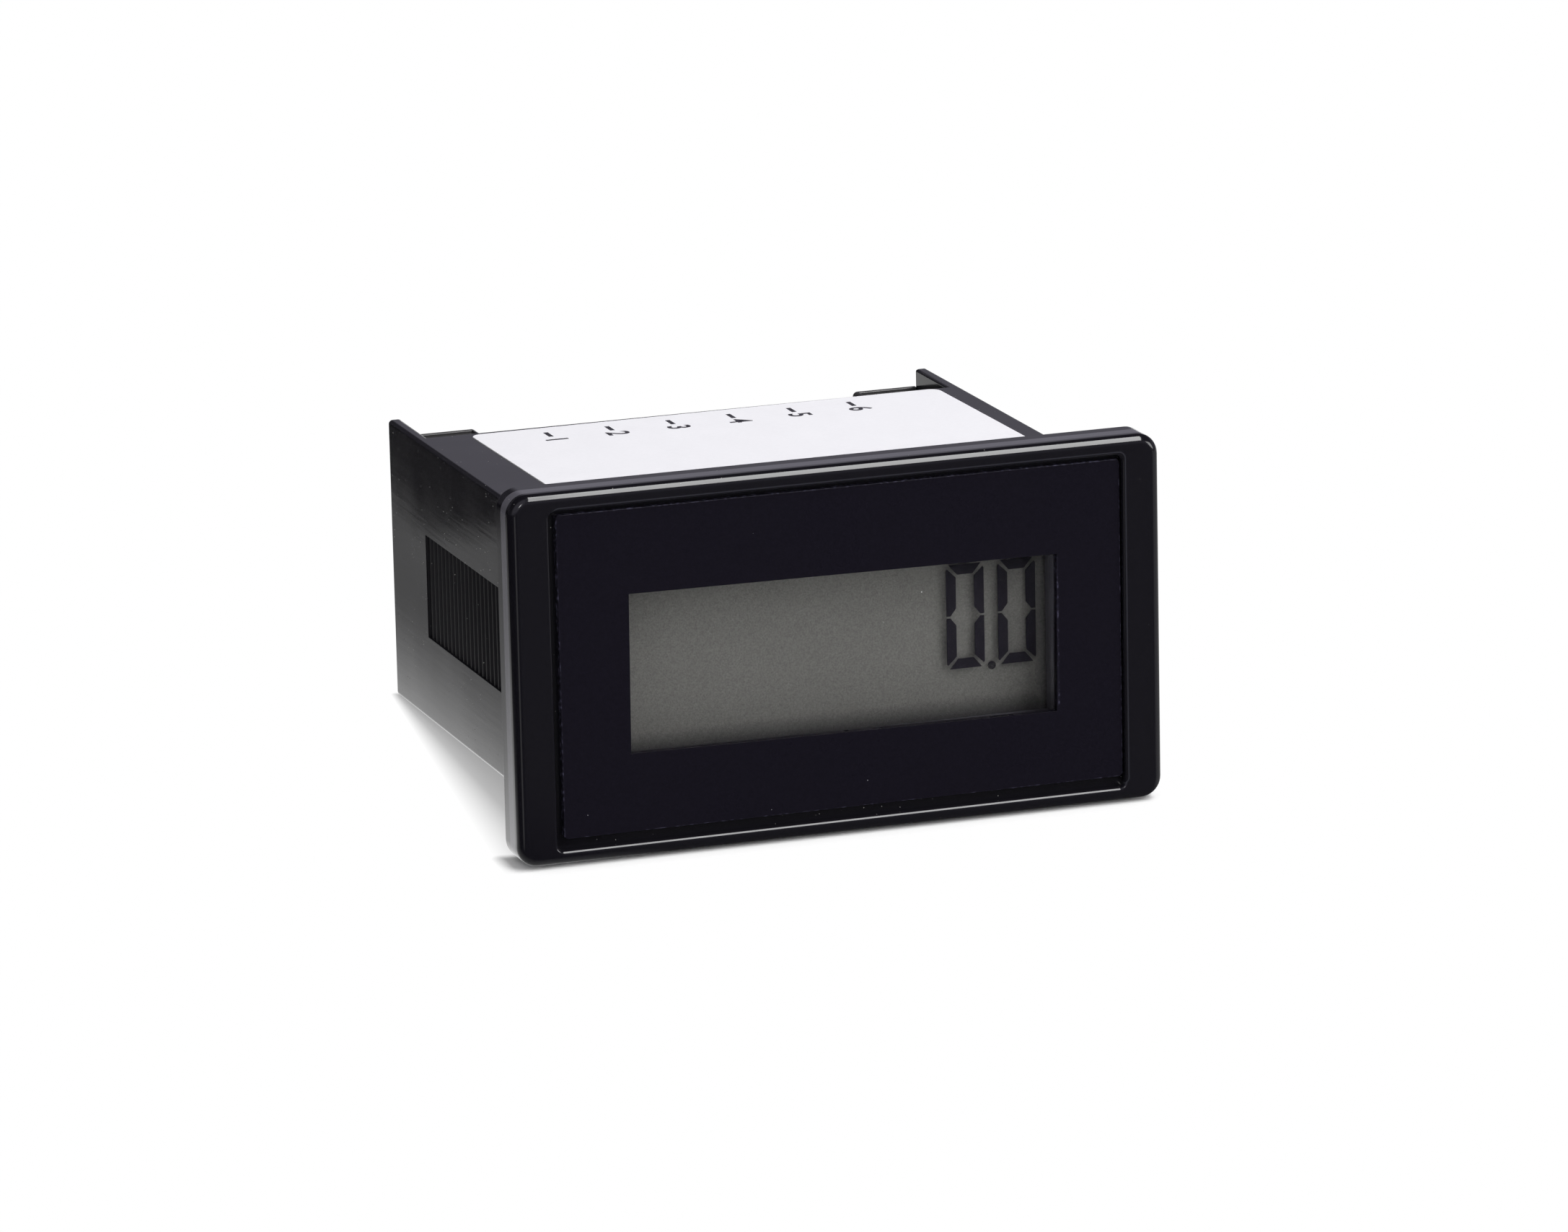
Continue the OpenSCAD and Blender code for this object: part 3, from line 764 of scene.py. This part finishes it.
def lettering(name, text, height, thickness):
    """Numerals as a closed mesh, flat in X and Y, centred, rising in Z."""
    curve = bpy.data.curves.new(name, "FONT")
    curve.body = text
    curve.align_x = "CENTER"
    curve.align_y = "CENTER"
    curve.size = height / 0.7
    curve.extrude = thickness / 2
    curve.offset = height / 36
    curve.resolution_u = 6
    holder = bpy.data.objects.new(name, curve)
    bpy.context.scene.collection.objects.link(holder)
    bpy.context.view_layer.update()
    made = bpy.data.meshes.new_from_object(holder)
    mesh = bmesh.new()
    mesh.from_mesh(made)
    bmesh.ops.remove_doubles(mesh, verts=mesh.verts, dist=0.001 * MM)
    bmesh.ops.translate(mesh, verts=mesh.verts, vec=(0, 0, thickness / 2))
    bpy.data.objects.remove(holder)
    bpy.data.curves.remove(curve)
    bpy.data.meshes.remove(made)
    return mesh


def camera_ray(point):
    """Start and direction of the line through an image point."""
    camera = bpy.context.scene.camera
    lens = camera.data
    across = Vector((point[0] - IMAGE_W / 2 + lens.shift_x * IMAGE_L,
                     IMAGE_H / 2 - point[1] + lens.shift_y * IMAGE_L,
                     -IMAGE_L * lens.lens / lens.sensor_width))
    turned = camera.matrix_world.to_quaternion() @ across
    return camera.matrix_world.translation.copy(), turned.normalized()


def image_place(position):
    """Image point at which a position shows."""
    camera = bpy.context.scene.camera
    lens = camera.data
    local = camera.matrix_world.inverted() @ Vector(position)
    scale = IMAGE_L * lens.lens / lens.sensor_width / -local.z
    return (IMAGE_W / 2 - lens.shift_x * IMAGE_L + local.x * scale,
            IMAGE_H / 2 + lens.shift_y * IMAGE_L - local.y * scale)


def place_on(piece, point):
    """Where the line through an image point meets a piece, or the nearest place to that line."""
    tree = BVHTree.FromObject(piece, bpy.context.evaluated_depsgraph_get())
    start, direction = camera_ray(point)
    hit = tree.ray_cast(start, direction)[0]
    if hit is not None:
        return hit
    low, high = (Vector(corner) for corner in (piece.bound_box[0], piece.bound_box[6]))
    reach = ((low + high) / 2 - start).dot(direction)
    return tree.find_nearest(start + direction * reach)[0]


# -------- Operators


class COUNTER_OT_stage(Operator):
    """Make the camera, the lamps, the floor and the world."""

    bl_idname = "counter.stage"
    bl_label = "Stage"

    def execute(self, context):
        settings = context.scene.counter_stage
        context.scene.view_settings.view_transform = "Standard"
        context.scene.cycles.transparent_max_bounces = 32
        self.camera(context, settings)
        self.floor(context, settings)
        self.lamp(context, "Key", (0.356, -0.457, 0.815), (0, 0.872, 0.49), (0.26, 1.01),
                  settings.key_power)
        self.lamp(context, "Fill", (0.85, -0.7, 0.2), (0, 0, 1), (0.4, 0.4), settings.fill_power)
        self.lamp(context, "Glint", (-0.18, -0.92, 0.36), (0, 0, 1), (0.12, 0.2),
                  settings.glint_power)
        self.world(context, settings.ambient)
        return {"FINISHED"}

    def camera(self, context, settings):
        turn, rise = settings.azimuth, settings.elevation
        back = Vector((-math.sin(turn) * math.cos(rise), -math.cos(turn) * math.cos(rise),
                       math.sin(rise)))
        level = Vector((0, 0, 1)).cross(back).normalized()
        upright = back.cross(level)
        right = level * math.cos(settings.roll) - upright * math.sin(settings.roll)
        data = bpy.data.cameras.new("Camera")
        data.lens = settings.lens
        data.sensor_width = settings.sensor
        data.sensor_fit = "AUTO"
        data.clip_start = 0.01
        camera = bpy.data.objects.new("Camera", data)
        turned = Matrix((right, back.cross(right), back)).transposed().to_4x4()
        camera.matrix_world = Matrix.Translation(
            Vector(settings.aim) + back * settings.distance) @ turned
        context.scene.collection.objects.link(camera)
        context.scene.camera = camera
        context.view_layer.update()

    def lamp(self, context, name, place, along, size, power):
        """Rectangular lamp that faces the part, its long side turned along a direction."""
        back = Vector(place).normalized()
        side = Vector(along).cross(back).normalized()
        data = bpy.data.lights.new(name, "AREA")
        data.shape = "RECTANGLE"
        data.size, data.size_y = size
        data.energy = power
        lamp = bpy.data.objects.new(name, data)
        turned = Matrix((side, back.cross(side), back)).transposed().to_4x4()
        lamp.matrix_world = Matrix.Translation(place) @ turned
        context.scene.collection.objects.link(lamp)

    def floor(self, context, settings):
        """Disc that the bezel's lower rear edge and the case's lower rear edge rest on."""
        case_low, case_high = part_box("housing")
        case_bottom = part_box("terminal_block")[0].z - WALL
        tilt = math.atan2(case_bottom - case_low.z, case_high.y)
        mesh = bmesh.new()
        bmesh.ops.create_circle(mesh, cap_ends=True, segments=96, radius=settings.floor_radius)
        bmesh.ops.rotate(mesh, verts=mesh.verts, matrix=Matrix.Rotation(tilt, 3, "X"))
        bmesh.ops.translate(mesh, verts=mesh.verts, vec=(0, 0, case_low.z))
        data = bpy.data.meshes.new("Floor")
        mesh.to_mesh(data)
        mesh.free()
        floor = bpy.data.objects.new("Floor", data)
        context.scene.collection.objects.link(floor)
        data.materials.append(self.floor_material(settings))

    def gap_from(self, tree, x, y, half_x, front, rear):
        """Distance of a point of the floor from a rectangle that is centred on X."""
        gaps = []
        for place, middle, half in ((x, 0.0, half_x),
                                    (y, (front + rear) / 2, (rear - front) / 2)):
            away = tree.math("ABSOLUTE", tree.math("SUBTRACT", place, middle))
            past = tree.math("MAXIMUM", tree.math("SUBTRACT", away, half))
            gaps.append(tree.math("POWER", past, 2.0))
        return tree.math("SQRT", tree.math("ADD", *gaps))

    def shade_gone(self, tree, x, y):
        """0 where the floor keeps the part's shadow, 1 where it shows plain white."""
        low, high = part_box("housing")
        by_case = self.gap_from(tree, x, y, WALL_X, 0.0, high.y)
        reach = tree.range(y, 0.0, high.y, 6 * MM, 0.7 * MM)
        clear_of_case = tree.range(tree.math("DIVIDE", by_case, reach), 0.0, 1.0, 0.3, 1.0)
        by_bezel = self.gap_from(tree, x, y, high.x, low.y, 0.0)
        return tree.math("MINIMUM", clear_of_case, tree.above(by_bezel, 0.0, 1.6 * MM))

    def beside_wall(self, tree, past, y, settings):
        """Floor that the left wall mirrors: a painted pool of light that fades into a painted dark
        patch.
        """
        fading = tree.math("EXPONENT", tree.math("DIVIDE", past, -settings.pool_reach))
        nearer = tree.range(y, 24 * MM, 84 * MM, 1.3, 0.75)
        pool = tree.product(fading, nearer, settings.pool_level)
        distant = tree.range(past, 11 * MM, 21 * MM, 0.02, settings.floor_level)
        dark = tree.product(tree.above(past, 19 * MM, 5 * MM), tree.above(y, 107 * MM, 11 * MM))
        return tree.product(tree.math("ADD", pool, distant), tree.between(dark, 1.0, 0.1))

    def mirrored_floor(self, tree, x, y, settings):
        """What glossy surfaces see of the floor: painted levels of light.

        The case's left wall and the bezel's left side each mirror a part of its left half. At the
        rear and at the right front it is paler, and a painted narrow beam of light runs out to the
        front from the bezel's left corner.
        """
        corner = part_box("housing")[0]
        past = tree.math("MAXIMUM", tree.math("MULTIPLY_ADD", x, -1.0, -WALL_X))
        by_wall = self.beside_wall(tree, past, y, settings)
        by_bezel = tree.product(1.96, tree.math("EXPONENT", tree.math("DIVIDE", past, -18 * MM)))
        seen_from = tree.math("MULTIPLY_ADD", past, -2.87, y)
        left = tree.between(tree.below(seen_from, -4 * MM, 8 * MM), by_wall, by_bezel)
        left = tree.product(left, tree.above(y, -8 * MM, 12 * MM))
        ahead = tree.math("MULTIPLY_ADD", y, -1.0, corner.y)
        turn = tree.math("ARCTAN2", ahead, tree.math("ADD", x, corner.x))
        to_right = tree.range(turn, math.radians(60), math.radians(40), 0.0, 0.35)
        others = tree.math("ADD", tree.range(y, 60 * MM, 100 * MM, 0.06, 0.7),
                           tree.product(to_right, tree.above(x, 38 * MM, 4 * MM)))
        lit = tree.between(tree.range(x, -WALL_X, -20 * MM, 1.0, 0.0), others, left)
        turn = tree.math("ARCTAN2", ahead, tree.math("MULTIPLY_ADD", x, -1.0, corner.x))
        off = tree.math("ABSOLUTE", tree.math("SUBTRACT", turn, math.radians(63)))
        beam = tree.range(off, math.radians(5), math.radians(12), 0.6, 0.0)
        return tree.math("MULTIPLY_ADD", beam, tree.above(ahead, 7 * MM, 11 * MM), lit)

    def floor_material(self, settings):
        """Pale sheet: white to the camera away from the part's shadow, dim in reflections."""
        material = bpy.data.materials.new("Floor")
        material.use_nodes = True
        material.node_tree.nodes.clear()
        tree = Tree(material.node_tree)
        x, y = tree.axes(tree.add("TexCoord").outputs["Object"])[:2]
        path = tree.add("LightPath").outputs
        mirrored = tree.math("MAXIMUM", path["Is Glossy Ray"], path["Is Transmission Ray"])
        level = tree.between(mirrored, 1.0, self.mirrored_floor(tree, x, y, settings))
        sheet = tree.add("BsdfDiffuse", {"Color": (0.93, 0.93, 0.93, 1)}).outputs[0]
        white = tree.add("Emission", {"Color": (1, 1, 1, 1), "Strength": level}).outputs[0]
        in_view = tree.product(self.shade_gone(tree, x, y), path["Is Camera Ray"])
        shown = tree.math("MAXIMUM", in_view, mirrored)
        mixed = tree.add("MixShader", {0: shown, 1: sheet, 2: white}).outputs[0]
        tree.add("OutputMaterial", {"Surface": mixed})
        return material

    def world(self, context, ambient):
        """White to camera rays. Glossy ones see a grey room with a dark ceiling, dimmer on the
        left and brighter on the side of the camera.
        """
        world = bpy.data.worlds.new("Studio")
        world.use_nodes = True
        world.node_tree.nodes.clear()
        tree = Tree(world.node_tree)
        path = tree.add("LightPath").outputs
        x, y, z = tree.axes(tree.add("TexCoord").outputs["Object"])
        room = tree.product(tree.range(z, -0.1, 0.1, 0.1, 0.24), tree.range(z, 0.3, 0.5, 1.0, 0.12),
                            tree.range(x, 0.05, 0.25, 0.3, 1.0))
        ahead = tree.product(tree.range(y, -0.2, -0.5, 0.0, 0.5), tree.below(x, 0.2, 0.2),
                             tree.above(z, -0.1, 0.2))
        mirrored = tree.math("MAXIMUM", path["Is Glossy Ray"], path["Is Transmission Ray"])
        unseen = tree.between(mirrored, ambient, tree.math("MAXIMUM", room, ahead))
        background = tree.add("Background", {
            "Color": tree.mix(mirrored, (1, 1, 1, 1), (0.95, 0.92, 1.08, 1)),
            "Strength": tree.math("MAXIMUM", unseen, path["Is Camera Ray"]),
        })
        tree.add("OutputWorld", {"Surface": background.outputs[0]})
        context.scene.world = world


class COUNTER_OT_case(Operator):
    """Make the moulded case and bezel, with their outer edges rounded."""

    bl_idname = "counter.case"
    bl_label = "Case and bezel"

    def execute(self, context):
        settings = context.scene.counter_case
        low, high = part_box("housing")
        recess_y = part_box("front_panel")[1].y

        def rounding(middle):
            x, y, z = abs(middle.x), middle.y, middle.z
            on_top = z > 14 * MM
            on_wall = x > WALL_X - 2.2 * MM
            if y < low.y + NEAR:
                return settings.lip
            if y < recess_y - NEAR:
                return 0
            if abs(y) < NEAR:
                return settings.rim if x > WALL_X + MM or abs(z) > 18 * MM else 0
            if y < 0:
                return 0
            if on_wall and abs(z) < RACK_HALF_HEIGHT and y < RACK_REAR:
                return settings.tooth_edge
            if on_wall and on_top and y > 45 * MM or y > high.y - NEAR:
                return settings.wall_end
            return settings.cut_edge if on_top and y > 5 * MM else 0

        softened("outer_shell", "housing", "case_plastic", rounding)
        return {"FINISHED"}


class COUNTER_OT_panel(Operator):
    """Make the printed front panel and finish its clear window."""

    bl_idname = "counter.panel"
    bl_label = "Front panel"

    def execute(self, context):
        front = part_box("front_panel")[0].y

        def rounding(middle):
            if middle.y > front + NEAR:
                return 0
            at_window = abs(middle.x) < 27 * MM and abs(middle.z) < 12 * MM
            return 0.03 * MM if at_window else 0.12 * MM

        softened("front_film", "front_panel", "panel_film", rounding)
        dress({"window_lens": "window_clear"})
        return {"FINISHED"}


class COUNTER_OT_display(Operator):
    """Finish the liquid crystal display and the frame that holds it."""

    bl_idname = "counter.display"
    bl_label = "Display"

    def execute(self, context):
        dress({
            "display_frame": "frame_plastic",
            "front_glass": "display_glass",
            "rear_glass": "display_glass",
            "display_segments": "display_ink",
            "reflector": "display_back",
            "contact_strip_upper": "contact_rubber",
            "contact_strip_lower": "contact_rubber",
        })
        return {"FINISHED"}


class COUNTER_OT_inside(Operator):
    """Finish the boards, the cell and the parts on them."""

    bl_idname = "counter.inside"
    bl_label = "Boards and cell"

    def execute(self, context):
        dress({
            "display_board": "board_green",
            "display_driver": "chip_black",
            "board_header": "header_black",
            "main_board": "board_green",
            "quartz_crystal": "can_steel",
            "lithium_cell": "can_steel",
            "cell_tab_left": "tab_nickel",
            "cell_tab_right": "tab_nickel",
            "capacitors": "sleeve_blue",
            "input_resistors": "chip_black",
        })
        return {"FINISHED"}


class COUNTER_OT_label(Operator):
    """Print the dashes and numerals on the label."""

    bl_idname = "counter.label"
    bl_label = "Label"

    def execute(self, context):
        settings = context.scene.counter_marks
        dress({"deck_label": "label_paper"})
        label = frame["nodes"]["deck_label"]
        first = place_on(label, POINTS["first_dash"])
        last = place_on(label, POINTS["last_dash"])
        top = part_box("deck_label")[1].z
        forward = settings.dash_length / 2 + settings.numeral_gap + settings.numeral_height / 4
        marks = bmesh.new()
        for i in range(TERMINALS):
            centre = first.lerp(last, i / (TERMINALS - 1))
            dash = bmesh.ops.create_cube(marks, size=1)["verts"]
            bmesh.ops.scale(marks, verts=dash,
                            vec=(settings.dash_width, settings.dash_length, settings.ink))
            bmesh.ops.translate(marks, verts=dash, vec=(centre.x, centre.y, top))
            numeral = lettering("numeral", str(i + 1), settings.numeral_height, settings.ink / 2)
            bmesh.ops.rotate(numeral, verts=numeral.verts,
                             matrix=Matrix.Rotation(-math.pi / 2, 3, "Z"))
            bmesh.ops.translate(numeral, verts=numeral.verts,
                                vec=(centre.x, centre.y - forward, top))
            join(marks, numeral)
        new_piece("label_print", marks, finish("print_ink"), BODY)
        return {"FINISHED"}


class COUNTER_OT_terminals(Operator):
    """Make the terminal block, its contacts, clamps and screws."""

    bl_idname = "counter.terminals"
    bl_label = "Terminals"

    def execute(self, context):
        bay_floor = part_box("contact_plates")[1].y
        last_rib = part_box(f"clamp_{TERMINALS}")[1].x + 1.7 * MM

        def rounding(middle):
            at_last_rib = abs(abs(middle.x) - last_rib) < 0.3 * MM and middle.z < 13.5 * MM
            return 0 if at_last_rib or middle.y < bay_floor - MM else 0.15 * MM

        softened("terminal_moulding", "terminal_block", "block_plastic", rounding)
        softened("contacts", "contact_plates", "contact_brass",
                 lambda middle: 0.08 * MM if middle.y > 49 * MM else 0)
        for i in range(1, TERMINALS + 1):
            softened(f"wire_clamp_{i}", f"clamp_{i}", "clamp_plate",
                     lambda middle: 0.1 * MM, f"clamp_{i}")
            softened(f"terminal_screw_{i}", f"screw_{i}", "screw_zinc",
                     lambda middle: 0.06 * MM if middle.y > 50.3 * MM else 0, f"screw_{i}")
        return {"FINISHED"}


STEPS = (COUNTER_OT_stage, COUNTER_OT_case, COUNTER_OT_panel, COUNTER_OT_display,
         COUNTER_OT_inside, COUNTER_OT_label, COUNTER_OT_terminals)
SETTINGS = {
    "counter_stage": CounterStage,
    "counter_case": CounterCase,
    "counter_marks": CounterMarks,
    "counter_colours": CounterColours,
}


class COUNTER_PT_build(Panel):
    """Lists the counter's pieces, to build each in turn."""

    bl_label = "Counter"
    bl_idname = "COUNTER_PT_build"
    bl_space_type = "VIEW_3D"
    bl_region_type = "UI"
    bl_category = "Counter"

    def draw(self, context):
        for step in STEPS:
            self.layout.operator(step.bl_idname)


def register():
    for name, group in SETTINGS.items():
        bpy.utils.register_class(group)
        setattr(bpy.types.Scene, name, PointerProperty(type=group))
    for step in STEPS:
        bpy.utils.register_class(step)
    bpy.utils.register_class(COUNTER_PT_build)


def unregister():
    bpy.utils.unregister_class(COUNTER_PT_build)
    for step in reversed(STEPS):
        bpy.utils.unregister_class(step)
    for name, group in reversed(SETTINGS.items()):
        delattr(bpy.types.Scene, name)
        bpy.utils.unregister_class(group)


# -------- Measures


def finished_places(names):
    """Image points of every finished vertex of these pieces."""
    graph = bpy.context.evaluated_depsgraph_get()
    places = []
    for name in names:
        shape = bpy.data.objects[name].evaluated_get(graph)
        places += [image_place(shape.matrix_world @ v.co) for v in shape.data.vertices]
    return places


def furthest(names, across, down):
    """Image point of the finished vertex that lies furthest in a direction of the image."""
    return max(finished_places(names), key=lambda p: p[0] * across + p[1] * down)


def write_points():
    """Works out how far each thing shows from its image point; the result is not kept."""
    found = {
        "left": furthest(["outer_shell"], -1, 0),
        "right": furthest(["outer_shell"], 1, 0),
        "top": furthest(["outer_shell"], 0, -1),
        "bottom": furthest(["outer_shell"], 0, 1),
        "case_rear_bottom": furthest(["outer_shell"], -1, 0.2),
        "label_rear_left": furthest(["deck_label"], -1, -0.3),
    }
    for corner, across, down in (("top_left", -1, -1), ("top_right", 1, -1),
                                 ("bottom_left", -1, 1), ("bottom_right", 1, 1)):
        found["panel_" + corner] = furthest(["front_film"], across, down)
        found["window_" + corner] = furthest(["window_lens"], across, down)
    label = frame["nodes"]["deck_label"]
    for name in ("first_dash", "last_dash"):
        found[name] = image_place(place_on(label, POINTS[name]))
    for name, place in POINTS.items():
        [None if wanted is None else round(shown - wanted, 2)
                     for wanted, shown in zip(place, found[name])]


def main():
    register()
    for step in STEPS:
        group, name = step.bl_idname.split(".")
        getattr(getattr(bpy.ops, group), name)()
    write_points()


if __name__ == "__main__":
    main()
